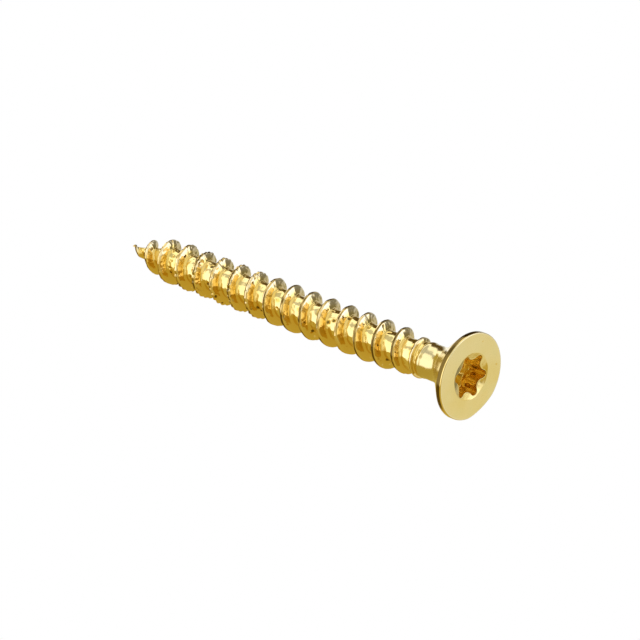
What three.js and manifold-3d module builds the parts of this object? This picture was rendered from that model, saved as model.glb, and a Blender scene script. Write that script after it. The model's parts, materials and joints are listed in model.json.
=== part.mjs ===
// A wood screw: countersunk flat head with a six-lobe recess, a short plain neck that ends
// in a collar, and a coarse single-start right-hand thread that runs to a sharp gimlet
// point. It is cold-formed and thread-rolled from one length of wire, so it is one solid.
//
// Millimetres, +Z up. The screw lies on its side on z = 0, as it does when it is put down
// on a table: it touches the table with the head's rim and with one crest of the thread
// near the point, so its axis slopes a little. The head is towards +X.
//
// The screw itself is drawn along its own Y axis, with the point at y = 0 and the flat face
// of the head at y = screwLength. Angles round that axis are counted from its own Z axis.

import * as THREE from 'three';
import { mergeVertices } from 'three/addons/utils/BufferGeometryUtils.js';
import Module from 'manifold-3d';

const wasm = await Module();
wasm.setup();

// Overall sizes
const screwLength = 50.0;
const headDiameter = 9.6;
const threadDiameter = 5.1;
const coreDiameter = 3.1;
const threadPitch = 2.65;

// Head
const rimThickness = 0.62;
const rimBevel = 0.1;
const countersinkAngle = 90;

// Neck, from the foot of the countersink down to the core
const neckDiameter = 3.86;
const neckLength = 1.9;          // plain length between the countersink and the collar
const neckFillet = 2.4;          // where the neck runs out into the countersink
const collarDiameter = 3.98;
const collarWidth = 0.45;
const collarTaper = 0.32;
const shoulderDiameter = 3.72;   // thick end of the core, just below the collar
const shoulderLength = 2.8;      // over this length the core thins to its own diameter

// Thread ridge
const crestWidth = 0.32;
const flankAngle = 20;           // each flank, from a plane square to the axis
const buriedShare = 0.6;         // the ridge is rooted this far in, as a share of the core
const firstCrestHeight = 0.6;    // where the crest first passes the screw's Z axis

// The thread's end. Heights are counted along the full lead, down from the collar's foot.
const runOutStart = 4.34;        // the crest begins to sink here,
const ledgeStart = 1.04;         // has sunk to a low ledge here,
const ledgeEnd = -0.26;          // keeps that height to here,
const runOutEnd = -1.96;         // and has sunk to the shoulder here
const ledgeShare = 0.55;         // part of the crest's height lost before the ledge
const closingStart = 1.24;       // from here up the turns crowd together, and
const closingLength = 1.35;      // this is as far as they still climb

// Gimlet point
const pointLength = 6.3;
const pointCurve = 1.3;          // above 1 the core is hollow-ground, like a gimlet
const swellLength = 6.8;         // over this length the crest swells to its full height
const swellCurve = 1.6;          // above 1 it swells fast behind the tip
const ridgeStart = 0.3;          // the ridge begins this far behind the tip

// Saw teeth, cut in the crest behind the point so that it bites
const serrationDepth = 0.15;
const serrationStart = 8.0;
const serrationEnd = 22.0;

// Six-lobe recess, measured across its mouth
const lobeCount = 6;
const recessOuterDiameter = 4.92;
const recessInnerDiameter = 3.52;
const lobeTipRadius = 0.44;
const recessDepth = 2.3;
const recessTaper = 0.94;        // size of the recess at its floor, as a share of its mouth
const floorConeDepth = 0.45;
const floorConeInset = 0.03;     // the floor's cone stays this far inside the lobes
const mouthMargin = 0.16;        // the round mouth stands this far outside the lobes
const mouthConeAngle = 150;
const recessTurn = 45;           // first lobe's angle round the axis, from the screw's Z axis

// Fineness of the faceted solid
const segments = 36;             // facets round the axis; every second one ends a saw tooth
const pointRings = 8;
const filletRings = 4;
const lobeSteps = 4;

const screwMaterial = new THREE.MeshStandardMaterial({
  name: 'yellow_zinc',
  color: new THREE.Color().setRGB(0.84, 0.66, 0.28, THREE.SRGBColorSpace),
  roughness: 0.24,
  metalness: 1.0,
});

const headRadius = headDiameter / 2;
const threadRadius = threadDiameter / 2;
const coreRadius = coreDiameter / 2;
const neckRadius = neckDiameter / 2;
const collarRadius = collarDiameter / 2;
const shoulderRadius = shoulderDiameter / 2;
const fullTurn = 2 * Math.PI;
const quarterTurn = Math.PI / 2;
const stepAngle = fullTurn / segments;
const seamAngle = stepAngle / 2; // turns the facets so that one lies flat on the table
const overshoot = 0.5;           // how far a cutting tool stands out of what it cuts
const levelTolerance = 1e-4;     // corners closer than this are at one height

// Heights above the tip, stacked down from the head's face
const coneSlope = Math.tan(THREE.MathUtils.degToRad(countersinkAngle / 2));
const coneFoot = screwLength - rimThickness - (headRadius - neckRadius) / coneSlope;
const neckFoot = coneFoot - neckLength;
const collarFoot = neckFoot - collarWidth - collarTaper;

// Turns a three.js geometry into a solid that can be joined or cut.
function toSolid(geometry) {
  const bare = new THREE.BufferGeometry();
  bare.setAttribute('position', geometry.getAttribute('position').clone());
  if (geometry.index) bare.setIndex(geometry.index.clone());
  const merged = mergeVertices(bare);
  const corners = merged.index.array;
  const triangles = [];
  for (let i = 0; i < corners.length; i += 3) {
    const [a, b, c] = corners.slice(i, i + 3);
    const hasArea = a !== b && b !== c && c !== a;
    if (hasArea) triangles.push(a, b, c);
  }
  return new wasm.Manifold(new wasm.Mesh({
    numProp: 3,
    vertProperties: new Float32Array(merged.getAttribute('position').array),
    triVerts: new Uint32Array(triangles),
  }));
}

// Turns a joined or cut solid back into a three.js geometry.
function toGeometry(solid) {
  const mesh = solid.getMesh();
  const geometry = new THREE.BufferGeometry();
  geometry.setAttribute('position', new THREE.BufferAttribute(mesh.vertProperties, 3));
  geometry.setIndex(new THREE.BufferAttribute(mesh.triVerts, 1));
  const flat = geometry.toNonIndexed();
  flat.computeVertexNormals();
  return flat;
}

// Radius of the core at a height above the tip: it tapers to nothing over the point, and
// thickens to the shoulder below the collar.
function coreRadiusAt(height) {
  const share = Math.min(height / pointLength, 1);
  const rise = Math.max(1 - (collarFoot - height) / shoulderLength, 0);
  return coreRadius * share ** pointCurve + (shoulderRadius - coreRadius) * rise;
}

// Radius of the thread's crest at a height along the full lead: it swells from the tip, and
// sinks below the collar, first to a ledge and then into the shoulder.
function crestRadiusAt(height) {
  const swellShare = Math.min(height / swellLength, 1);
  const swell = 1 - (1 - swellShare) ** swellCurve;
  const toLedge = THREE.MathUtils.smoothstep(height, collarFoot - runOutStart, collarFoot - ledgeStart);
  const toShoulder = THREE.MathUtils.smoothstep(height, collarFoot - ledgeEnd, collarFoot - runOutEnd);
  const sink = ledgeShare * toLedge + (1 - ledgeShare) * toShoulder;
  return threadRadius * swell - (threadRadius - shoulderRadius) * sink;
}

// Where a turn really lies, given its height along the full lead: the last turns crowd
// together below the collar.
function crowdedHeight(height) {
  const past = Math.max(height - (collarFoot - closingStart), 0);
  return height - past + closingLength * (1 - Math.exp(-past / closingLength));
}

// Rounds the inner corner between the neck and the countersink cone.
function neckFilletPoints() {
  const halfTurn = THREE.MathUtils.degToRad(countersinkAngle / 4);
  const setBack = neckFillet * Math.tan(halfTurn);
  const centre = new THREE.Vector2(neckRadius + neckFillet, coneFoot - setBack);
  const points = [];
  for (let i = 0; i <= filletRings; i += 1) {
    const angle = Math.PI - 2 * halfTurn * (i / filletRings);
    points.push(new THREE.Vector2(
      centre.x + neckFillet * Math.cos(angle),
      centre.y + neckFillet * Math.sin(angle),
    ));
  }
  return points;
}

// Everything that is round about the axis: point, core, collar, neck and head.
function shankAndHeadGeometry() {
  const profile = [new THREE.Vector2(0, 0)];
  for (let i = 1; i <= pointRings; i += 1) {
    const height = pointLength * (i / pointRings);
    profile.push(new THREE.Vector2(coreRadiusAt(height), height));
  }
  profile.push(new THREE.Vector2(coreRadius, collarFoot - shoulderLength));
  profile.push(new THREE.Vector2(shoulderRadius, collarFoot));
  profile.push(new THREE.Vector2(collarRadius, collarFoot + collarTaper));
  profile.push(new THREE.Vector2(neckRadius, neckFoot));
  profile.push(...neckFilletPoints());
  profile.push(new THREE.Vector2(headRadius, screwLength - rimThickness));
  profile.push(new THREE.Vector2(headRadius, screwLength - rimBevel));
  profile.push(new THREE.Vector2(headRadius - rimBevel, screwLength));
  profile.push(new THREE.Vector2(0, screwLength));
  return new THREE.LatheGeometry(profile, segments, seamAngle);
}

// One cross-section of the ridge: foot, crest, crest and foot again, as radius and height.
function ridgeSection(step) {
  const leadHeight = firstCrestHeight + threadPitch * (step + 0.5) / segments;
  const height = crowdedHeight(leadHeight);
  const isSerrated = height > serrationStart && height < serrationEnd;
  const toothDepth = isSerrated && step % 2 === 0 ? serrationDepth : 0;
  const crestRadius = crestRadiusAt(leadHeight) - toothDepth;
  const footRadius = coreRadiusAt(height) * buriedShare;
  const flankSpread = Math.tan(THREE.MathUtils.degToRad(flankAngle));
  const crestHalf = crestWidth / 2 + toothDepth * flankSpread;
  const footHalf = crestHalf + Math.max(crestRadius - footRadius, 0) * flankSpread;
  return [
    [footRadius, height - footHalf],
    [crestRadius, height - crestHalf],
    [crestRadius, height + crestHalf],
    [footRadius, height + footHalf],
  ];
}

// A stretch of the thread's ridge, as one closed body wound round the core. Its steps fall
// on the core's own facet edges.
function ridgeStretchGeometry(firstStep, lastStep) {
  const positions = [];
  const index = [];
  for (let step = firstStep; step <= lastStep; step += 1) {
    const angle = seamAngle + step * stepAngle;
    for (const [radius, height] of ridgeSection(step)) {
      positions.push(radius * Math.sin(angle), height, radius * Math.cos(angle));
    }
  }
  const sides = 4;
  const stations = lastStep - firstStep + 1;
  for (let station = 0; station < stations - 1; station += 1) {
    for (let side = 0; side < sides; side += 1) {
      const near = station * sides + side;
      const nearNext = station * sides + (side + 1) % sides;
      const far = near + sides;
      const farNext = nearNext + sides;
      index.push(near, far, farNext, near, farNext, nearNext);
    }
  }
  const last = (stations - 1) * sides;
  index.push(0, 1, 2, 0, 2, 3);
  index.push(last, last + 2, last + 1, last, last + 3, last + 2);
  const geometry = new THREE.BufferGeometry();
  geometry.setAttribute('position', new THREE.Float32BufferAttribute(positions, 3));
  geometry.setIndex(index);
  return geometry;
}

// The whole ridge, from the tip to the collar, joined from half turns that share their end
// sections, so that none of them meets itself where the turns crowd together.
function ridgeSolid() {
  const stepRise = threadPitch / segments;
  const firstStep = Math.ceil((ridgeStart - firstCrestHeight) / stepRise);
  const lastStep = Math.floor((collarFoot - runOutEnd - firstCrestHeight) / stepRise);
  const halfTurnSteps = segments / 2;
  let ridge = null;
  for (let step = firstStep; step < lastStep; step += halfTurnSteps) {
    const end = Math.min(step + halfTurnSteps, lastStep);
    const stretch = toSolid(ridgeStretchGeometry(step, end));
    ridge = ridge ? ridge.add(stretch) : stretch;
  }
  return ridge;
}

// Six-lobe outline: small round lobe tips joined by larger arcs that curve the other way.
function recessShape() {
  const tipCentre = recessOuterDiameter / 2 - lobeTipRadius;
  const inner = recessInnerDiameter / 2;
  const halfPitch = Math.PI / lobeCount;
  const reach = tipCentre * Math.cos(halfPitch);
  const flankRadius = (lobeTipRadius ** 2 - tipCentre ** 2 - inner ** 2 + 2 * inner * reach)
    / (2 * (inner - reach - lobeTipRadius));
  const flankCentre = inner + flankRadius;
  const across = flankCentre * Math.sin(halfPitch);
  const along = flankCentre * Math.cos(halfPitch) - tipCentre;
  const tipSweep = Math.atan2(across, along);
  const flankSweep = tipSweep - halfPitch;
  const shape = new THREE.Shape();
  for (let lobe = 0; lobe < lobeCount; lobe += 1) {
    const turn = 2 * halfPitch * lobe;
    shape.absarc(tipCentre * Math.cos(turn), tipCentre * Math.sin(turn),
      lobeTipRadius, turn - tipSweep, turn + tipSweep, false);
    const middle = turn + halfPitch;
    shape.absarc(flankCentre * Math.cos(middle), flankCentre * Math.sin(middle),
      flankRadius, middle + Math.PI + flankSweep, middle + Math.PI - flankSweep, true);
  }
  return shape;
}

// The six-lobe punch: wider at the mouth than at the floor, standing out of the face.
function lobedPunchGeometry() {
  const length = recessDepth + overshoot;
  const punch = new THREE.ExtrudeGeometry(recessShape(), {
    depth: length, steps: 1, curveSegments: lobeSteps, bevelEnabled: false,
  });
  const position = punch.getAttribute('position');
  const slope = (1 - recessTaper) / recessDepth;
  for (let i = 0; i < position.count; i += 1) {
    const size = 1 - slope * (recessDepth - position.getZ(i));
    position.setX(i, position.getX(i) * size);
    position.setY(i, position.getY(i) * size);
  }
  punch.rotateX(-quarterTurn);
  punch.rotateY(quarterTurn + THREE.MathUtils.degToRad(recessTurn));
  punch.translate(0, screwLength - recessDepth, 0);
  return punch;
}

// The punch's cone-shaped end, which leaves a shallow cone in the floor of the recess.
function floorConeGeometry() {
  const coneRadius = recessInnerDiameter / 2 * recessTaper - floorConeInset;
  const floor = screwLength - recessDepth;
  return new THREE.LatheGeometry([
    new THREE.Vector2(0, floor - floorConeDepth),
    new THREE.Vector2(coneRadius, floor),
    new THREE.Vector2(coneRadius, floor + overshoot),
    new THREE.Vector2(0, floor + overshoot),
  ], segments, seamAngle);
}

// A shallow cone that opens the recess's mouth for the driver.
function mouthConeGeometry() {
  const slope = 1 / Math.tan(THREE.MathUtils.degToRad(mouthConeAngle / 2));
  const mouthRadius = recessOuterDiameter / 2 + mouthMargin;
  return new THREE.LatheGeometry([
    new THREE.Vector2(0, screwLength - mouthRadius * slope),
    new THREE.Vector2(mouthRadius + overshoot / slope, screwLength + overshoot),
    new THREE.Vector2(0, screwLength + overshoot),
  ], segments, seamAngle);
}

// The mouth cone and the lobed punch meet in a round opening: the cone only bites where
// the lobes do, so both are one cutting tool.
function screwGeometry() {
  const threaded = toSolid(shankAndHeadGeometry()).add(ridgeSolid());
  const punch = toSolid(lobedPunchGeometry())
    .add(toSolid(floorConeGeometry()))
    .add(toSolid(mouthConeGeometry()));
  return toGeometry(threaded.subtract(punch));
}

// Slope at which the screw comes to rest: it pivots on the lowest corner of the head's rim
// until the first crest of the thread meets the table.
function restingSlope(geometry) {
  const position = geometry.getAttribute('position');
  const pivot = new THREE.Vector3(0, 0, Infinity);
  const corner = new THREE.Vector3();
  for (let i = 0; i < position.count; i += 1) {
    corner.fromBufferAttribute(position, i);
    const isLower = corner.z < pivot.z - levelTolerance;
    const isLevel = Math.abs(corner.z - pivot.z) <= levelTolerance;
    if (isLower || (isLevel && corner.y < pivot.y)) pivot.copy(corner);
  }
  let slope = Infinity;
  for (let i = 0; i < position.count; i += 1) {
    corner.fromBufferAttribute(position, i);
    const distance = pivot.y - corner.y;
    if (distance > threadPitch) slope = Math.min(slope, (corner.z - pivot.z) / distance);
  }
  return Math.atan(slope);
}

const screw = new THREE.Mesh(screwGeometry(), screwMaterial);
screw.name = 'screw';
screw.rotation.z = -quarterTurn; // the screw's own Y axis lies along +X, head first

const lying = new THREE.Group();
lying.add(screw);
lying.rotation.y = -restingSlope(screw.geometry);

const woodScrew = new THREE.Group();
woodScrew.add(lying);
const outline = new THREE.Box3().setFromObject(woodScrew, true);
const middle = outline.getCenter(new THREE.Vector3());
lying.position.set(-middle.x, -middle.y, -outline.min.z);

export default woodScrew;
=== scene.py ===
"""Looks of a countersunk wood screw: yellow zinc-plated steel, lying on a white surface."""
import json
import math

import bpy
import numpy as np
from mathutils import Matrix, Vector, noise


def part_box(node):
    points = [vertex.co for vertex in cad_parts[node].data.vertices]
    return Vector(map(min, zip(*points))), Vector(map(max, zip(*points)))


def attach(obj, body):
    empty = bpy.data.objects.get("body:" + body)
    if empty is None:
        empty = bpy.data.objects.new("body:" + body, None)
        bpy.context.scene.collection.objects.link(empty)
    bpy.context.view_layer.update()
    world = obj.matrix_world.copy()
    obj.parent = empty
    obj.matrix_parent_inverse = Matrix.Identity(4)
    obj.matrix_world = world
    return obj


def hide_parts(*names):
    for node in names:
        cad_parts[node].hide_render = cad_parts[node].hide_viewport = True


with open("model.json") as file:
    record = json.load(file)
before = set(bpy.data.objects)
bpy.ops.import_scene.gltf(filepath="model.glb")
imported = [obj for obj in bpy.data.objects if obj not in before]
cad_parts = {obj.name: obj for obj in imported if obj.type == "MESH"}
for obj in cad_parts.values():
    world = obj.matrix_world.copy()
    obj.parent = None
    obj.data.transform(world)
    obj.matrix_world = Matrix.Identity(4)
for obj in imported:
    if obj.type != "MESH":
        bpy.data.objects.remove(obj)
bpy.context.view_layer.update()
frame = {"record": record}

MM = 0.001

# ---------------------------------------------------------------- driving sizes, in mm
# Heights are counted from the tip, along the screw's axis.
THREAD_RADIUS = 2.54
CORE_RADIUS = 1.55
PITCH = 2.65
CREST_HALF = 0.16
CREST_ROUND = 0.21
FLANK_DEGREES = 20
FLANK_ANGLE = math.radians(FLANK_DEGREES)
ROOT_FILLET = 0.34
LEAST_RIDGE = 0.012         # the ridge never sinks quite to the core
CREST_ROUND_SHARE = 0.4     # of a low ridge's height, the most that each of these may take
ROOT_FILLET_SHARE = 0.45
CREST_HALF_SHARE = 0.6
TURN_ROOM = 0.47            # part of the way to the next crest that one side of a ridge may take
FIRST_CREST = 0.60          # height where the crest first faces up
FIRST_TURN = -2             # turns are counted from there; the grid starts this far below it
POINT_LENGTH = 6.3
POINT_CURVE = 1.3
SWELL_LENGTH = 6.8
SWELL_CURVE = 1.6
RUN_OUT_START = 4.34        # below the collar's foot, where the crest begins to sink
LEDGE_START = 1.04          # there the crest has sunk to a low ledge,
LEDGE_END = -0.26           # which keeps its height to here
RUN_OUT_END = -1.96         # and is gone here, counted at the thread's full lead
LEDGE_SHARE = 0.55          # part of the crest's height that is lost before the ledge
CLOSING_START = 1.24        # from here up the turns crowd together
CLOSING_LENGTH = 1.35
SERRATION_START = 8.0
SERRATION_END = 22.0
SERRATION_FADE = 2.0
SERRATION_DEPTH = 0.15
TEETH_PER_TURN = 24
TOOTH_LEAN = 0.65           # a notch deepens over this part of its length and ends over the rest
TOOTH_SIZES = (0.25, 1.25)
TEETH_DRAWN = 800           # more than the thread has
TOOTH_SEED = 7
BURR_DEPTH = 0.055
BURR_SLOW = 0.055
BURR_QUICK = 0.035
BURR_FULL = 20.0            # below this height the burr is full,
BURR_LEAST_FROM = 26.0      # and above this one it is least
BURR_LEAST = 0.35
FULL_TEETH_RIDGE = 0.5      # a ridge lower than this has shallower teeth and burrs
BLUNT_TIP = 0.12            # below this height the tip is a plain small cone
STITCH_GAP = 0.02           # between the helical grid and the rings that close it

NECK_RADIUS = 1.93
NECK_LENGTH = 1.90
NECK_FILLET = 2.4
COLLAR_RADIUS = 1.99
COLLAR_WIDTH = 0.45
COLLAR_TAPER = 0.32
SHOULDER_RADIUS = 1.86
SHOULDER_LENGTH = 2.8
CONE_ANGLE = math.radians(45)
RIM_THICKNESS = 0.62
RIM_FOOT = 0.06             # rounding between the countersink and the rim
RIM_BEVEL = 0.10
FLAT_ANGLE = math.radians(199)      # where the head's edge was knocked flat
FLAT_HALF_WIDTH = math.radians(27)
FLAT_DEPTH = 0.17
FLAT_EASE = 1.5
FLAT_INNER = 3.4            # radius where the flat has faded out

LOBES = 6
LOBE_OUTER = 2.46
LOBE_INNER = 1.76
LOBE_TIP = 0.44
RECESS_DEPTH = 2.3
RECESS_TAPER = 0.94
RECESS_EDGE = 0.09
FLOOR_CONE = 0.45
FLOOR_RINGS = (0.97, 0.9, 0.75, 0.5, 0.25)
MOUTH_RADIUS = 2.62
MOUTH_SLOPE = math.tan(math.radians(15))
MOUTH_EDGE = 0.04
MOUTH_SINK = 0.002          # how far the mouth starts below the face
RECESS_TURN = math.radians(45)
FACE_MOUNT_RADIUS = 3.6     # how far the record's head_face point stands from the axis

COLUMNS = 240               # round the axis
CREST_STEPS = 5             # points or steps along each part of the thread's section
FLANK_STEPS = 7
FILLET_STEPS = 6
ROOT_STEPS = 10

# ---------------------------------------------------------------- place, from the frame
mount = next(m for m in frame["record"]["mounts"] if m["name"] == "head_face")
axis = Vector(mount["axis"]).normalized()
across = Vector((0, 1, 0))
upward = axis.cross(across)
face_centre = Vector(mount["pos_m"]) - upward * FACE_MOUNT_RADIUS * MM
low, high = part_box("screw")
LENGTH = (face_centre.x - low[0]) / axis.x / MM
HEAD_RADIUS = (high[1] - low[1]) / 2 / MM
CONE_FOOT = LENGTH - RIM_THICKNESS - (HEAD_RADIUS - NECK_RADIUS) / math.tan(CONE_ANGLE)
NECK_FOOT = CONE_FOOT - NECK_LENGTH
COLLAR_FOOT = NECK_FOOT - COLLAR_WIDTH - COLLAR_TAPER


def smooth(value, start, end):
    """0 before start, 1 after end, eased between them."""
    share = np.clip((value - start) / (end - start), 0, 1)
    return share * share * (3 - 2 * share)


def wobble(x, y, z, size):
    """Smooth noise from -1 to 1 with features of the given size."""
    points = np.stack(np.broadcast_arrays(x, y, z), -1).reshape(-1, 3) / size
    values = [noise.noise(Vector(p)) for p in points.tolist()]
    return np.array(values).reshape(np.broadcast(x, y, z).shape)


# ---------------------------------------------------------------- shape of the thread
def core_radius(height):
    """Radius of the core, which swells from the point and rises to a shoulder below the collar."""
    share = np.clip(height / POINT_LENGTH, 0, 1)
    rise = np.clip(1 - (COLLAR_FOOT - height) / SHOULDER_LENGTH, 0, 1)
    return CORE_RADIUS * share ** POINT_CURVE + (SHOULDER_RADIUS - CORE_RADIUS) * rise


def crest_radius(height):
    """Radius of the crest, which swells from the point and sinks in two steps at the run-out."""
    share = np.clip(height / SWELL_LENGTH, 0, 1)
    swell = 1 - (1 - share) ** SWELL_CURVE
    below = COLLAR_FOOT - height
    sink = LEDGE_SHARE * smooth(below, RUN_OUT_START, LEDGE_START)
    sink += (1 - LEDGE_SHARE) * smooth(below, LEDGE_END, RUN_OUT_END)
    return THREAD_RADIUS * swell - (THREAD_RADIUS - SHOULDER_RADIUS) * sink


def crowded(height):
    """Where a turn lies, given its height at the full lead: the last turns close up on the collar."""
    past = np.maximum(height - (COLLAR_FOOT - CLOSING_START), 0)
    return height - past + CLOSING_LENGTH * (1 - np.exp(-past / CLOSING_LENGTH))


tooth_sizes = np.random.default_rng(TOOTH_SEED).uniform(*TOOTH_SIZES, TEETH_DRAWN)


def saw_tooth(turns, height):
    """Depth of the notches rolled in the crest, no two alike."""
    tooth = (turns - FIRST_TURN + 1) * TEETH_PER_TURN
    wave = tooth % 1.0
    notch = np.where(wave < TOOTH_LEAN, wave / TOOTH_LEAN, (1 - wave) / (1 - TOOTH_LEAN))
    fade = smooth(height, SERRATION_START, SERRATION_START + SERRATION_FADE)
    fade *= smooth(height, SERRATION_END, SERRATION_END - SERRATION_FADE)
    return SERRATION_DEPTH * notch * fade * tooth_sizes[tooth.astype(int)]


def crest_burr(turns, height):
    """How far the crest stands in from its full radius, in mm: it is more ragged near the point."""
    ragged = BURR_LEAST + (1 - BURR_LEAST) * smooth(height, BURR_LEAST_FROM, BURR_FULL)
    slow = wobble(turns * 14, 3.3, 0.7, 1.0)
    quick = wobble(turns * 37, 8.1, 2.9, 1.0)
    return ragged * (BURR_DEPTH - BURR_SLOW * slow - BURR_QUICK * quick)


def half_section(full, cut):
    """One side of the ridge, from the middle of its crest to its root.

    full is the ridge's height before the teeth cut it down. The result is a list of offsets along
    the axis and a list of heights above the core.
    """
    ridge = np.maximum(full - cut, LEAST_RIDGE)
    rounding = np.minimum(CREST_ROUND, CREST_ROUND_SHARE * ridge)
    fillet = np.minimum(ROOT_FILLET, ROOT_FILLET_SHARE * ridge)
    crest = np.minimum(CREST_HALF, CREST_HALF_SHARE * ridge) + (full - ridge) * math.tan(FLANK_ANGLE)
    tangent = math.tan((math.pi / 2 - FLANK_ANGLE) / 2)
    offsets, heights = [0 * ridge], [ridge]
    for psi in np.radians(np.linspace(90, FLANK_DEGREES, CREST_STEPS)):
        offsets.append(crest - rounding * tangent + rounding * math.cos(psi))
        heights.append(ridge - rounding + rounding * math.sin(psi))
    flank_x, flank_y = offsets[-1], heights[-1]
    corner = crest + ridge * math.tan(FLANK_ANGLE)
    arc_x, arc_y = [], []
    for psi in np.radians(np.linspace(180 + FLANK_DEGREES, 270, FILLET_STEPS)):
        arc_x.append(corner + fillet * tangent + fillet * math.cos(psi))
        arc_y.append(fillet + fillet * math.sin(psi))
    for t in np.linspace(0, 1, FLANK_STEPS + 1)[1:-1]:
        offsets.append(flank_x * (1 - t) + arc_x[0] * t)
        heights.append(flank_y * (1 - t) + arc_y[0] * t)
    return offsets + arc_x, heights + arc_y


def threaded_columns():
    """Columns of (radius, height, turn, section) up the screw, and the number of rows in a turn.

    section runs from 0 to 1 from one crest to the next.
    """
    numbers = np.arange(FIRST_TURN, int(LENGTH / PITCH) + 3)
    columns = []
    for i in range(COLUMNS):
        turns = numbers + i / COLUMNS
        nominal = FIRST_CREST + PITCH * turns
        centre = crowded(nominal)
        full = np.maximum(crest_radius(nominal) - core_radius(centre), LEAST_RIDGE)
        cut = saw_tooth(turns, centre) + crest_burr(turns, centre)
        cut *= np.minimum(full / FULL_TEETH_RIDGE, 1)
        offsets, heights = half_section(full, cut)
        rows = []
        for k in range(len(numbers) - 1):
            lead = centre[k + 1] - centre[k]
            squeeze = min(1, TURN_ROOM * lead / offsets[-1][k])
            squeeze_next = min(1, TURN_ROOM * lead / offsets[-1][k + 1])
            rising_x = [centre[k] + o[k] * squeeze for o in offsets]
            falling_x = [centre[k + 1] - o[k + 1] * squeeze_next for o in offsets][::-1]
            root = np.linspace(rising_x[-1], falling_x[0], ROOT_STEPS + 1)[1:-1]
            xs = np.array(rising_x + list(root) + falling_x[:-1])
            hs = [h[k] for h in heights] + [0.0] * (ROOT_STEPS - 1)
            hs += [h[k + 1] for h in heights][::-1][:-1]
            section = (xs - centre[k]) / lead
            rows.append(np.stack([xs, hs, np.full(len(xs), turns[k]), section], 1))
        rows = np.concatenate(rows)
        rows[:, 1] += core_radius(rows[:, 0])
        columns.append(rows[:, [1, 0, 2, 3]])
    return columns, len(rows) // (len(numbers) - 1)


def lobe_radius(phi):
    """Radius of the six-lobe outline in direction phi: round tips joined by hollow flanks."""
    half = math.pi / LOBES
    tip_centre = LOBE_OUTER - LOBE_TIP
    reach = tip_centre * math.cos(half)
    flank = (LOBE_TIP ** 2 - tip_centre ** 2 - LOBE_INNER ** 2 + 2 * LOBE_INNER * reach) / (
        2 * (LOBE_INNER - reach - LOBE_TIP))
    flank_centre = LOBE_INNER + flank
    a = abs((phi + half) % (2 * half) - half)
    sweep = math.atan2(flank_centre * math.sin(half), flank_centre * math.cos(half) - tip_centre)
    meet = math.atan2(LOBE_TIP * math.sin(sweep), tip_centre + LOBE_TIP * math.cos(sweep))
    if a < meet:
        return tip_centre * math.cos(a) + math.sqrt(LOBE_TIP ** 2 - (tip_centre * math.sin(a)) ** 2)
    b = half - a
    return flank_centre * math.cos(b) - math.sqrt(max(flank ** 2 - (flank_centre * math.sin(b)) ** 2, 0))


# ---------------------------------------------------------------- mesh
THREAD, NECK, CONE, RIM, FACE, MOUTH, RECESS = range(7)


class MeshBuilder:
    """Collects points as (radius, height, angle from up, zone, turn, section), and their faces."""

    def __init__(self):
        self.points = []
        self.faces = []

    def add(self, radius, height, phi, zone, turn=0.0, section=0.5):
        self.points.append((radius, height, phi, zone, turn, section))
        return len(self.points) - 1

    def ring(self, radii, height, zone):
        radii = np.broadcast_to(radii, (COLUMNS,))
        height = np.broadcast_to(height, (COLUMNS,))
        return [self.add(radii[i], height[i], 2 * math.pi * i / COLUMNS, zone) for i in range(COLUMNS)]

    def bridge(self, lower, upper):
        for i in range(COLUMNS):
            j = (i + 1) % COLUMNS
            self.faces.append((lower[i], lower[j], upper[j], upper[i]))

    def cap(self, ring, tip, up):
        for i in range(COLUMNS):
            j = (i + 1) % COLUMNS
            self.faces.append((ring[i], ring[j], tip) if up else (ring[j], ring[i], tip))


def build_thread(mesh):
    """The helical grid of the thread, stitched to a ring at the tip and a ring at the collar's foot."""
    columns, per_turn = threaded_columns()
    lowest = BLUNT_TIP + STITCH_GAP
    highest = COLLAR_FOOT - STITCH_GAP
    index = []
    for i, column in enumerate(columns):
        inside = np.nonzero((column[:, 1] > lowest) & (column[:, 1] < highest))[0]
        entry = {}
        for k in inside.tolist():
            radius, height, turn, section = column[k]
            entry[k] = mesh.add(radius, height, 2 * math.pi * i / COLUMNS, THREAD, turn, section)
        index.append(entry)
    index.append({k - per_turn: v for k, v in index[0].items()})
    foot = mesh.ring(core_radius(BLUNT_TIP), BLUNT_TIP, NECK)
    top = mesh.ring(SHOULDER_RADIUS, COLLAR_FOOT, NECK)
    foot.append(foot[0])
    top.append(top[0])
    for i in range(COLUMNS):
        a, b = index[i], index[i + 1]
        start = max(min(a), min(b))
        end = min(max(a), max(b))
        for k in range(start, end):
            mesh.faces.append((a[k], b[k], b[k + 1], a[k + 1]))
        rising = [b[k] for k in range(min(b), start + 1)]
        falling = [a[k] for k in range(start, min(a) - 1, -1)]
        mesh.faces.append((foot[i], foot[i + 1], *rising, *falling))
        falling = [a[k] for k in range(max(a), end - 1, -1)]
        rising = [b[k] for k in range(end, max(b) + 1)]
        mesh.faces.append((top[i + 1], top[i], *falling, *rising))
    tip = mesh.add(0.0, 0.0, 0.0, NECK)
    mesh.cap(foot[:-1], tip, up=False)
    return top[:-1]


angles = 2 * math.pi * np.arange(COLUMNS) / COLUMNS


def head_outline(radius):
    """A circle of this radius with the knocked flat, which fades towards the middle of the head."""
    near = np.clip(1 - (np.abs(angles - FLAT_ANGLE) / FLAT_HALF_WIDTH) ** 2, 0, 1) ** FLAT_EASE
    return radius - FLAT_DEPTH * near * smooth(radius, FLAT_INNER, HEAD_RADIUS)


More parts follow.
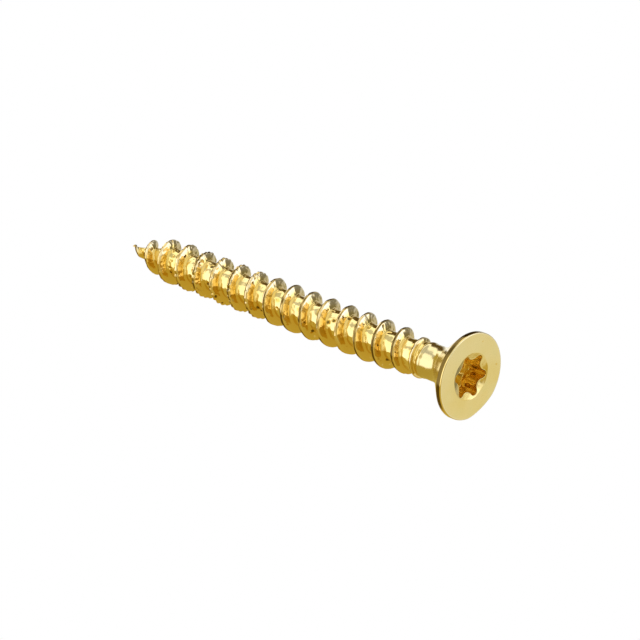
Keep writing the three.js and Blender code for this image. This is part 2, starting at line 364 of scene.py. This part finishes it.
def build_head(mesh, first_ring):
    """Collar, neck, countersink, rim, face and recess, as rings one after the other."""
    rings = [first_ring]

    def lathe(radius, height, zone):
        ring = mesh.ring(radius, height, zone)
        mesh.bridge(rings[-1], ring)
        rings.append(ring)

    for t in np.linspace(0, 1, 8)[1:]:
        lathe(SHOULDER_RADIUS + (COLLAR_RADIUS - SHOULDER_RADIUS) * smooth(t, 0, 1),
              COLLAR_FOOT + COLLAR_TAPER * t, NECK)
    for t in np.linspace(0, 1, 8)[1:]:
        lathe(COLLAR_RADIUS + (NECK_RADIUS - COLLAR_RADIUS) * smooth(t, 0, 1),
              NECK_FOOT - COLLAR_WIDTH * (1 - t), NECK)
    fillet_foot = CONE_FOOT - NECK_FILLET * math.tan(CONE_ANGLE / 2)
    for t in np.linspace(0, 1, 10)[1:-1]:
        lathe(NECK_RADIUS, NECK_FOOT + (fillet_foot - NECK_FOOT) * t, NECK)
    for psi in np.linspace(0, CONE_ANGLE, 14):
        lathe(NECK_RADIUS + NECK_FILLET * (1 - math.cos(psi)),
              fillet_foot + NECK_FILLET * math.sin(psi), CONE)
    cone_start = NECK_RADIUS + NECK_FILLET * (1 - math.cos(CONE_ANGLE))
    cone_end = HEAD_RADIUS - RIM_FOOT
    for radius in np.linspace(cone_start, cone_end, 16)[1:]:
        lathe(head_outline(radius), CONE_FOOT + (radius - NECK_RADIUS) / math.tan(CONE_ANGLE), CONE)
    rim_foot = LENGTH - RIM_THICKNESS
    # one ring half way round the rounding between the countersink and the rim
    lathe(head_outline(HEAD_RADIUS - RIM_FOOT * 0.3), rim_foot - RIM_FOOT * 0.25, RIM)
    for height in np.linspace(rim_foot + RIM_FOOT, LENGTH - RIM_BEVEL, 6):
        lathe(head_outline(HEAD_RADIUS), height, RIM)
    for psi in np.radians(np.linspace(0, 90, 7))[1:]:
        lathe(head_outline(HEAD_RADIUS - RIM_BEVEL * (1 - math.cos(psi))),
              LENGTH - RIM_BEVEL * (1 - math.sin(psi)), RIM)
    for radius in np.linspace(HEAD_RADIUS - RIM_BEVEL, MOUTH_RADIUS + MOUTH_EDGE, 18)[1:]:
        lathe(head_outline(radius), LENGTH, FACE)
    outline = np.array([lobe_radius(phi + RECESS_TURN) for phi in angles])
    drop = (MOUTH_RADIUS - outline - RECESS_EDGE) * MOUTH_SLOPE
    for t in np.linspace(0, 1, 8):
        lathe(MOUTH_RADIUS + (outline + RECESS_EDGE - MOUTH_RADIUS) * t,
              LENGTH - drop * t - MOUTH_SINK, MOUTH)
    for psi in np.radians(np.linspace(10, 90, 7)):
        lathe(outline + RECESS_EDGE * (1 - math.sin(psi)),
              LENGTH - drop - RECESS_EDGE * (1 - math.cos(psi)), MOUTH)
    wall_top = LENGTH - drop - RECESS_EDGE
    floor_height = LENGTH - RECESS_DEPTH
    for t in np.linspace(0, 1, 14)[1:]:
        lathe(outline * (1 - (1 - RECESS_TAPER) * t), wall_top + (floor_height - wall_top) * t, RECESS)
    for t in FLOOR_RINGS:
        lathe(outline * RECESS_TAPER * t, floor_height - FLOOR_CONE * (1 - t), RECESS)
    centre = mesh.add(0.0, floor_height - FLOOR_CONE, 0.0, RECESS)
    mesh.cap(rings[-1], centre, up=True)


# ---------------------------------------------------------------- surface relief, in mm
# Sizes of the noise that all zones share
DENT_SIZE = 0.95
CRUMPLE_SIZE = 0.42
GRAIN_SIZE = 0.17

# How far each zone stands out or in, in mm: dents, crumple and what else it has
THREAD_DENTS = 0.055
THREAD_CRUMPLE = 0.026
THREAD_GRAIN = 0.007
THREAD_MARKS = 0.015        # rolling marks, which run along the thread
MARK_WIDTH = 0.21
ROUGH_LEAST = 0.75          # share of the relief near the head,
ROUGH_ADDED = 0.5           # and what comes on top of it near the point
ROUGH_HEIGHTS = (24, 8)
NECK_DENTS = 0.018
NECK_CRUMPLE = 0.006
NECK_RINGS = 0.0025
RING_WIDTH = 0.16
RING_DRIFT = 0.4            # how far the neck's rings wander on their way round
CONE_SHARE = 0.5            # of the neck's relief that the countersink has
RIM_INSET = 0.012
RIM_WAVES = 0.010
RIM_WAVE_SIZE = 1.7
RIM_CRUMPLE = 0.002
FACE_INSET = 0.006
FACE_WAVES = 0.005
FACE_WAVE_SIZE = 2.6
FACE_CRUMPLE = 0.0007
MOUTH_INSET = 0.010
MOUTH_DENTS = 0.012
MOUTH_CRUMPLE = 0.005
RECESS_DENTS = 0.016
RECESS_CRUMPLE = 0.002

# Knocks on the face, listed one by one: radius, angle from up towards +Y, size, depth
FACE_PITS = (
    (4.0, 92, 0.16, 0.05),
    (3.87, 31, 0.13, 0.04),
    (3.3, 150, 0.10, 0.02),
    (3.1, -60, 0.12, 0.02),
)

# Pits scattered over the thread, more of them near the point
THREAD_PITS = 230
PIT_SEED = 21
PIT_START = 2.0
PIT_REACH = 41.0
PIT_CROWDING = 1.5
PIT_SIZES = (0.12, 0.34)
PIT_DEPTHS = (0.03, 0.09)
FLANK_PIT_RADIUS = 2.3      # half of the pits lie this far out, the others on the core


def pit_depths(positions, centres, sizes, depths):
    """Depth of the deepest small round dent that reaches each point."""
    deepest = np.zeros(len(positions))
    for centre, size, depth in zip(centres, sizes, depths):
        near = np.nonzero(np.abs(positions[:, 0] - centre[0]) < size)[0]
        distance = np.linalg.norm(positions[near] - centre, axis=1) / size
        bowl = depth * np.clip(1 - distance ** 2, 0, 1)
        deepest[near] = np.maximum(deepest[near], bowl)
    return deepest


def relief(points):
    """How far each point stands out along its normal, and how deep its pit is, both in mm."""
    radius, height, phi, zone, turn, section = points.T
    x, y, z = height, radius * np.cos(phi), radius * np.sin(phi)
    dents = wobble(x, y, z, DENT_SIZE)
    crumple = wobble(x + 40, y, z, CRUMPLE_SIZE)
    grain = wobble(x, y + 30, z, GRAIN_SIZE)
    out = np.zeros(len(points))

    thread = zone == THREAD
    rough = ROUGH_LEAST + ROUGH_ADDED * smooth(height, *ROUGH_HEIGHTS)
    full = np.clip(crest_radius(height) / THREAD_RADIUS, 0.15, 1)
    marks = wobble(section * PITCH / MARK_WIDTH, turn * 5.0, 4.4, 1.0) * np.sin(math.pi * section) ** 2
    bumps = THREAD_DENTS * dents + THREAD_CRUMPLE * crumple + THREAD_GRAIN * grain + THREAD_MARKS * marks
    out += thread * rough * full * bumps

    neck = (zone == NECK) | (zone == CONE)
    rings = wobble(height / RING_WIDTH, RING_DRIFT * np.cos(phi), RING_DRIFT * np.sin(phi), 1.0)
    faded = np.where(zone == CONE, CONE_SHARE, 1.0) * smooth(height, 1.0, 3.0)
    out += neck * faded * (NECK_DENTS * dents + NECK_CRUMPLE * crumple + NECK_RINGS * rings)

    head = (zone == RIM) | (zone == FACE)
    rim_waves = wobble(x, y, z, RIM_WAVE_SIZE)
    out += (zone == RIM) * (-RIM_INSET + RIM_WAVES * rim_waves + RIM_CRUMPLE * crumple)
    face_waves = wobble(x, y, z, FACE_WAVE_SIZE)
    out += (zone == FACE) * (-FACE_INSET + FACE_WAVES * face_waves + FACE_CRUMPLE * crumple)
    out += (zone == MOUTH) * (-MOUTH_INSET + MOUTH_DENTS * dents + MOUTH_CRUMPLE * crumple)
    out += (zone == RECESS) * (RECESS_DENTS * dents + RECESS_CRUMPLE * crumple)

    rng = np.random.default_rng(PIT_SEED)
    where = rng.uniform(size=(THREAD_PITS, 2))
    pit_height = PIT_START + PIT_REACH * where[:, 0] ** PIT_CROWDING
    pit_phi = 2 * math.pi * where[:, 1]
    on_core = rng.uniform(size=THREAD_PITS) < 0.5
    pit_radius = np.where(on_core, core_radius(pit_height), FLANK_PIT_RADIUS)
    centres = np.stack([pit_height, pit_radius * np.cos(pit_phi), pit_radius * np.sin(pit_phi)], 1)
    sizes = rng.uniform(*PIT_SIZES, THREAD_PITS)
    places = np.stack([x, y, z], 1)
    pits = pit_depths(places, centres, sizes, rng.uniform(*PIT_DEPTHS, THREAD_PITS))
    out -= thread * pits
    from_axis, turned, knock_sizes, knock_depths = np.array(FACE_PITS).T
    turned = np.radians(turned)
    spots = [np.full(len(FACE_PITS), LENGTH), from_axis * np.cos(turned), -from_axis * np.sin(turned)]
    knocks = pit_depths(places, np.stack(spots, 1), knock_sizes, knock_depths)
    out -= head * knocks
    return out, pits + knocks


def place(points):
    """Screw coordinates (radius, height above the tip, angle from up) to the frame, in metres."""
    radius, height, phi = points.T[:3]
    out = np.outer((height - LENGTH) * MM, axis)
    out += np.outer(radius * np.cos(phi) * MM, upward)
    out -= np.outer(radius * np.sin(phi) * MM, across)
    return out + np.array(face_centre)


# Where each mark lies on a turn, as the share of the way from one crest to the next between
# which it fades in or out, and how strong it is
# painted shade along the crests, stronger on the upper side
CREST_SHADE_EDGE = (0.075, 0.05)
FLANK_IN = (0.07, 0.11)     # the flank that faces the head
FLANK_OUT = (0.40, 0.30)
# painted reflection: amber on the flank that faces the head, standing in for the next turn's gold reflected
# in it
FLANK_PAINTED_REFLECTION = 0.28
HOLLOW_IN = (0.74, 0.82)    # the flank that faces the point
HOLLOW_OUT = (0.97, 0.90)
# painted shade in the hollow at the foot of the flank that faces the point, stronger on the upper side
HOLLOW_PAINTED_SHADE = 0.60
# painted shade: darker towards the root of the thread
ROOT_PAINTED_SHADE = 0.12
# painted shade in the pits, the deeper the darker
PIT_PAINTED_SHADE = 15.0          # for each mm of depth
# painted shade inside the recess
RECESS_PAINTED_SHADE = 0.42
# painted shade on the recess's mouth
MOUTH_PAINTED_SHADE = 0.10
# painted highlight: the upper part of the ridges paler on the upper side
HIGHLIGHT_HEIGHTS = (0.25, 0.60)     # share of the way from the core to the crest
THREAD_PAINTED_HIGHLIGHT = 0.85
# painted highlight on the rim's top edge, next to the face
RIM_PAINTED_HIGHLIGHT = 0.55
RIM_HIGHLIGHT_DEPTHS = (0.12, 0.02)  # below the face, in mm
# painted shade: a dark band on the rim's upper side, below the face
RIM_SHADE_DEPTHS = (0.09, 0.14)
PALENESS = 0.15
# painted light: the face paler towards its top
FACE_TOP_PAINTED_LIGHT = 0.4

# Angles round the axis, from up towards -Y, of the sides where the painted shade on the crests, the painted
# highlight on the thread and the painted shade on the rim are strongest
CREST_SHADE_SIDE = math.radians(30)
HIGHLIGHT_SIDE = math.radians(22)
RIM_SHADE_SIDE = math.radians(40)


def finish_and_painted_light_zones(points, pits):
    """Painted highlight, painted shade and reflection, paleness with painted light at the top of the face,
    and dullness for the material, one value of each per point.
    """
    radius, height, phi, zone, turn, section = points.T
    thread = zone == THREAD
    standing = (radius - core_radius(height)) / np.maximum(crest_radius(height) - core_radius(height), 0.05)
    from_crest = np.minimum(section, 1 - section)
    below_face = LENGTH - height
    patches = wobble(turn * 3.1, 2.5, 6.2, 1.0) + 0.5 * wobble(turn * 23, 5.5, 1.2, 1.0)
    patches = smooth(patches, -0.55, 0.25)
    high_side = smooth(np.cos(phi - CREST_SHADE_SIDE), -0.75, 0.2)
    # painted shade: the crests darker, in patches, most on the upper side
    crest_shade = thread * smooth(from_crest, *CREST_SHADE_EDGE) * (0.25 + 0.75 * patches) * (0.35 + 0.65 * high_side)
    # painted reflection on the flank that faces the head
    flank = thread * smooth(section, *FLANK_IN) * smooth(section, *FLANK_OUT)
    # painted shade in the hollow before the next crest, stronger on the upper side
    hollow = thread * smooth(section, *HOLLOW_IN) * smooth(section, *HOLLOW_OUT)
    hollow *= 0.3 + 0.7 * high_side
    # painted highlight on the upper side of the thread
    upper_side = smooth(np.cos(phi - HIGHLIGHT_SIDE), 0.0, 0.6)
    painted_highlight = THREAD_PAINTED_HIGHLIGHT * thread * smooth(standing, *HIGHLIGHT_HEIGHTS) * upper_side
    # painted highlight on the rim's top edge
    painted_highlight += RIM_PAINTED_HIGHLIGHT * (zone == RIM) * smooth(below_face, *RIM_HIGHLIGHT_DEPTHS)
    rim_shade_side = smooth(np.cos(phi - RIM_SHADE_SIDE), -0.1, 0.35)
    # painted shade: towards the root, in the pits and along the crests
    painted_shade_and_reflection = ROOT_PAINTED_SHADE * thread * smooth(standing, 0.55, 0.0) + PIT_PAINTED_SHADE * pits + crest_shade
    painted_shade_and_reflection += FLANK_PAINTED_REFLECTION * flank + HOLLOW_PAINTED_SHADE * hollow
    # painted shade on the rim's upper side
    painted_shade_and_reflection += (zone == RIM) * smooth(below_face, *RIM_SHADE_DEPTHS) * rim_shade_side
    # painted shade inside the recess and on its mouth
    painted_shade_and_reflection += RECESS_PAINTED_SHADE * (zone == RECESS) + MOUTH_PAINTED_SHADE * (zone == MOUTH)
    # painted light: the face paler towards its top
    top_of_face = smooth(radius * np.cos(phi), -4, 4) * (zone == FACE)
    paleness_and_painted_light = PALENESS + FACE_TOP_PAINTED_LIGHT * top_of_face
    dull = smooth(height, COLLAR_FOOT - 0.3, COLLAR_FOOT + 0.3) * ((zone == NECK) | (zone == CONE))
    return np.stack([np.clip(v, 0, 1) for v in (painted_highlight, painted_shade_and_reflection, paleness_and_painted_light, dull)], 1)


def make_screw():
    """The whole screw as one closed mesh, with its finish and its painted light and shade stored in two
    attributes.
    """
    mesh = MeshBuilder()
    build_head(mesh, build_thread(mesh))
    points = np.array(mesh.points)
    data = bpy.data.meshes.new("wood_screw")
    data.from_pydata(place(points).tolist(), [], mesh.faces)
    normals = np.zeros(len(points) * 3)
    data.vertex_normals.foreach_get("vector", normals)
    lift, pits = relief(points)
    moved = place(points) + normals.reshape(-1, 3) * (lift * MM)[:, None]
    data.vertices.foreach_set("co", moved.ravel())
    data.polygons.foreach_set("use_smooth", np.ones(len(data.polygons), dtype=bool))
    # finish with painted light and shade: one colour per point
    layer = data.color_attributes.new("finish_and_painted_light", "FLOAT_COLOR", "POINT")
    layer.data.foreach_set("color", finish_and_painted_light_zones(points, pits).ravel())
    walls = data.attributes.new("recess_walls", "FLOAT", "POINT")
    walls.data.foreach_set("value", (points[:, 3] == RECESS).astype(float))
    data.update()
    screw = bpy.data.objects.new("wood_screw", data)
    bpy.context.collection.objects.link(screw)
    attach(screw, "root")
    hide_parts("screw")
    return screw


# ---------------------------------------------------------------- material
LIGHT_GOLD = (0.88, 0.75, 0.38, 1)
DEEP_GOLD = (0.84, 0.68, 0.25, 1)
GREENISH = (0.79, 0.72, 0.34, 1)
PALE_GOLD = (0.88, 0.80, 0.54, 1)
DULL_GOLD = (0.72, 0.62, 0.34, 1)
PAINTED_HIGHLIGHT_GOLD = (0.95, 0.90, 0.76, 1)
# colours of the painted shade and reflection
PAINTED_AMBER = (0.76, 0.50, 0.08, 1)
PAINTED_DARK_BROWN = (0.08, 0.05, 0.012, 1)
POLISHED = 0.05             # roughness of the smoothest and the least smooth spots
SATIN = 0.14
DULL_ADDED = 0.05
BUMP_HEIGHT = 0.012
BUMP_SIZE = 0.14
BUMP_STRENGTH = 0.35
RECESS_BUMP_STRENGTH = 0.04


def yellow_zinc():
    """Yellow-passivated zinc: a gold that drifts in hue, paler where a highlight is painted, amber and
    darker brown where shade and reflection are painted.
    """
    mat = bpy.data.materials.new("yellow_zinc")
    mat.use_nodes = True
    nodes, links = mat.node_tree.nodes, mat.node_tree.links
    bsdf = nodes["Principled BSDF"]
    bsdf.inputs["Metallic"].default_value = 1.0
    coords = nodes.new("ShaderNodeTexCoord").outputs["Object"]

    def cloud(size, detail=2.0):
        """Noise with features of this size, in mm."""
        node = nodes.new("ShaderNodeTexNoise")
        links.new(coords, node.inputs["Vector"])
        node.inputs["Scale"].default_value = 1 / (size * MM)
        node.inputs["Detail"].default_value = detail
        return node.outputs["Fac"]

    def spread(value, start, end, low_value=0.0, high_value=1.0):
        """low_value up to start, high_value from end on, in proportion between them."""
        node = nodes.new("ShaderNodeMapRange")
        links.new(value, node.inputs["Value"])
        node.inputs["From Min"].default_value = start
        node.inputs["From Max"].default_value = end
        node.inputs["To Min"].default_value = low_value
        node.inputs["To Max"].default_value = high_value
        return node.outputs["Result"]

    def blend(share, a, b):
        """Colour a where share is 0 and colour b where it is 1; either can be a tuple or a socket."""
        node = nodes.new("ShaderNodeMix")
        node.data_type = "RGBA"
        links.new(share, node.inputs[0])
        for socket, value in ((node.inputs[6], a), (node.inputs[7], b)):
            if isinstance(value, tuple):
                socket.default_value = value
            else:
                links.new(value, socket)
        return node.outputs[2]

    zones = nodes.new("ShaderNodeAttribute")
    zones.attribute_name = "finish_and_painted_light"
    split = nodes.new("ShaderNodeSeparateColor")
    links.new(zones.outputs["Color"], split.inputs["Color"])
    painted_highlight, painted_shade_and_reflection, paleness_and_painted_light = split.outputs
    dull = zones.outputs["Alpha"]
    walls = nodes.new("ShaderNodeAttribute")
    walls.attribute_name = "recess_walls"

    gold = blend(spread(cloud(3.2), 0.35, 0.65), LIGHT_GOLD, DEEP_GOLD)
    gold = blend(spread(cloud(1.7), 0.45, 0.75, 0.0, 0.6), gold, GREENISH)
    # an even paleness, with painted light on the top of the face
    gold = blend(spread(paleness_and_painted_light, 0.0, 1.0, 0.0, 0.9), gold, PALE_GOLD)
    gold = blend(dull, gold, DULL_GOLD)
    # painted highlight: paler on the upper thread and on the rim's top edge
    gold = blend(painted_highlight, gold, PAINTED_HIGHLIGHT_GOLD)
    # painted shade and the flank's painted reflection: amber, then dark brown
    gold = blend(spread(painted_shade_and_reflection, 0.0, 0.6, 0.0, 0.75), gold, PAINTED_AMBER)
    gold = blend(spread(painted_shade_and_reflection, 0.6, 1.0, 0.0, 0.9), gold, PAINTED_DARK_BROWN)
    links.new(gold, bsdf.inputs["Base Color"])

    polish = spread(cloud(0.5, 3.0), 0.3, 0.7, POLISHED, SATIN)
    added = nodes.new("ShaderNodeMath")
    added.operation = "MULTIPLY_ADD"
    links.new(dull, added.inputs[0])
    added.inputs[1].default_value = DULL_ADDED
    links.new(polish, added.inputs[2])
    links.new(added.outputs[0], bsdf.inputs["Roughness"])

    bump = nodes.new("ShaderNodeBump")
    strength = spread(walls.outputs["Fac"], 0.0, 1.0, BUMP_STRENGTH, RECESS_BUMP_STRENGTH)
    links.new(strength, bump.inputs["Strength"])
    bump.inputs["Distance"].default_value = BUMP_HEIGHT * MM
    links.new(cloud(BUMP_SIZE, 4.0), bump.inputs["Height"])
    links.new(bump.outputs["Normal"], bsdf.inputs["Normal"])
    return mat


screw = make_screw()
screw.data.materials.append(yellow_zinc())

# ---------------------------------------------------------------- stage
# The floor is evenly white and shows only to the camera: it casts nothing back on the screw.
FLOOR_SIZE = 1.2
bpy.ops.mesh.primitive_plane_add(size=FLOOR_SIZE, location=(0, 0, 0))
floor = bpy.context.object
floor.name = "floor"
floor_material = bpy.data.materials.new("floor")
floor_material.use_nodes = True
paper = floor_material.node_tree.nodes["Principled BSDF"]
paper.inputs["Base Color"].default_value = (0, 0, 0, 1)
paper.inputs["Specular IOR Level"].default_value = 0.0
paper.inputs["Emission Color"].default_value = (1, 1, 1, 1)
paper.inputs["Emission Strength"].default_value = 1.0
floor.visible_glossy = False
floor.visible_diffuse = False
floor.visible_shadow = False
floor.data.materials.append(floor_material)


def direction(azimuth, elevation):
    """Unit vector towards this azimuth and elevation, in degrees; azimuth 0 is the front, -Y."""
    a, e = math.radians(azimuth), math.radians(elevation)
    return Vector((math.sin(a) * math.cos(e), -math.cos(a) * math.cos(e), math.sin(e)))


AMBIENT = (0.58, 0.43, 0.09)
COOL = (1.0, 0.98, 0.92)
WARM = (1.0, 0.93, 0.68)
BROWN = (1.0, 0.62, 0.15)

# Soft boxes and dark cards far away round the screw, each laid over the ones before:
# azimuth, elevation, half width, half height, edge (all as tangents), brightness, tint
CARDS = (
    ("sky", 43, 82, 1.1, 1.1, 0.4, 1.05, WARM),
    ("front", 6, 22, 0.55, 0.36, 0.15, 0.95, WARM),
    ("back_half", 172, 12, 2.0, 1.1, 0.35, 0.64, COOL),
    ("left_upper", -88, 50, 0.60, 0.36, 0.10, 0.72, COOL),
    ("left_high", -118, 40, 0.48, 0.20, 0.05, 1.6, COOL),
    ("strip", -112, 12, 0.13, 0.30, 0.06, 1.6, COOL),
    ("back_bright", 131, 8, 0.34, 0.38, 0.06, 1.7, COOL),
    ("back_gap", 166, 4, 0.24, 0.42, 0.06, 0.24, WARM),
    ("back_top", 150, 40, 0.30, 0.20, 0.08, 1.0, COOL),
    ("dark_back", -143, 17, 0.42, 0.32, 0.06, 0.13, BROWN),
    ("back_under", -126, -18, 0.24, 0.12, 0.06, 1.3, COOL),
    ("face_board", 134, -24, 0.36, 0.34, 0.08, 0.83, WARM),
    ("under_far", 168, -31, 0.15, 0.13, 0.05, 0.28, WARM),
    ("left_box", -46, 6, 0.50, 0.36, 0.06, 1.7, COOL),
    ("left_box_top", -51, 34, 0.24, 0.22, 0.06, 1.6, COOL),
    ("dark_right", 95, 8, 0.26, 0.30, 0.06, 0.25, WARM),
)
LEAST_DEPTH = 0.001         # keeps a card from showing in the opposite direction as well


def studio_world():
    """White to the camera; to the screw, a room of soft panels."""
    world = bpy.data.worlds.new("studio")
    world.use_nodes = True
    nodes, links = world.node_tree.nodes, world.node_tree.links
    nodes.clear()
    looking = nodes.new("ShaderNodeTexCoord").outputs["Generated"]

    def math_node(operation, a, b=None):
        node = nodes.new("ShaderNodeMath")
        node.operation = operation
        for socket, value in zip(node.inputs, (a, b)):
            if value is None:
                continue
            if isinstance(value, (int, float)):
                socket.default_value = value
            else:
                links.new(value, socket)
        return node.outputs[0]

    def along(vector):
        """How far the direction looked in runs along this one."""
        node = nodes.new("ShaderNodeVectorMath")
        node.operation = "DOT_PRODUCT"
        links.new(looking, node.inputs[0])
        node.inputs[1].default_value = vector
        return node.outputs["Value"]

    def window(distance, half, edge):
        """1 within half of the middle, 0 beyond it, with a soft edge."""
        node = nodes.new("ShaderNodeMapRange")
        node.interpolation_type = "SMOOTHSTEP"
        links.new(math_node("ABSOLUTE", distance), node.inputs["Value"])
        node.inputs["From Min"].default_value = half + edge
        node.inputs["From Max"].default_value = half - edge
        return node.outputs["Result"]

    level = None
    for name, azimuth, elevation, width, height, edge, brightness, tint in CARDS:
        centre = direction(azimuth, elevation)
        side = direction(azimuth + 90, 0)
        depth = math_node("MAXIMUM", along(centre), LEAST_DEPTH)
        sideways = math_node("DIVIDE", along(side), depth)
        upwards = math_node("DIVIDE", along(side.cross(centre)), depth)
        mix = nodes.new("ShaderNodeMix")
        mix.data_type = "RGBA"
        mix.label = name
        inside = math_node("MULTIPLY", window(sideways, width, edge), window(upwards, height, edge))
        links.new(inside, mix.inputs[0])
        if level is None:
            mix.inputs[6].default_value = (*AMBIENT, 1)
        else:
            links.new(level, mix.inputs[6])
        mix.inputs[7].default_value = (*[brightness * c for c in tint], 1)
        level = mix.outputs[2]
    studio = nodes.new("ShaderNodeBackground")
    links.new(level, studio.inputs["Color"])
    white = nodes.new("ShaderNodeBackground")
    white.inputs["Color"].default_value = (1, 1, 1, 1)
    choose = nodes.new("ShaderNodeMixShader")
    links.new(nodes.new("ShaderNodeLightPath").outputs["Is Camera Ray"], choose.inputs["Fac"])
    links.new(studio.outputs[0], choose.inputs[1])
    links.new(white.outputs[0], choose.inputs[2])
    links.new(choose.outputs[0], nodes.new("ShaderNodeOutputWorld").inputs["Surface"])
    bpy.context.scene.world = world


studio_world()

# ---------------------------------------------------------------- camera
CAMERA_AZIMUTH = 43.04
CAMERA_ELEVATION = 28.82
CAMERA_DISTANCE = 0.4828    # in metres
CAMERA_LENS = 253.125
TARGET_BELOW_FACE = 25.0    # the point that the camera looks at, in mm: down the screw,
TARGET_RIGHT = 2.56         # then to the right of it
TARGET_DOWN = 1.17          # and downwards in the picture
back = direction(CAMERA_AZIMUTH, CAMERA_ELEVATION)
right = direction(CAMERA_AZIMUTH + 90, 0)
target = face_centre - axis * TARGET_BELOW_FACE * MM
target += (right * TARGET_RIGHT - back.cross(right) * TARGET_DOWN) * MM
camera_data = bpy.data.cameras.new("camera")
camera_data.lens = CAMERA_LENS
camera = bpy.data.objects.new("camera", camera_data)
bpy.context.collection.objects.link(camera)
camera.location = target + back * CAMERA_DISTANCE
camera.rotation_mode = "QUATERNION"
camera.rotation_quaternion = (-back).to_track_quat("-Z", "Y")
bpy.context.scene.camera = camera
bpy.context.scene.view_settings.view_transform = "Standard"
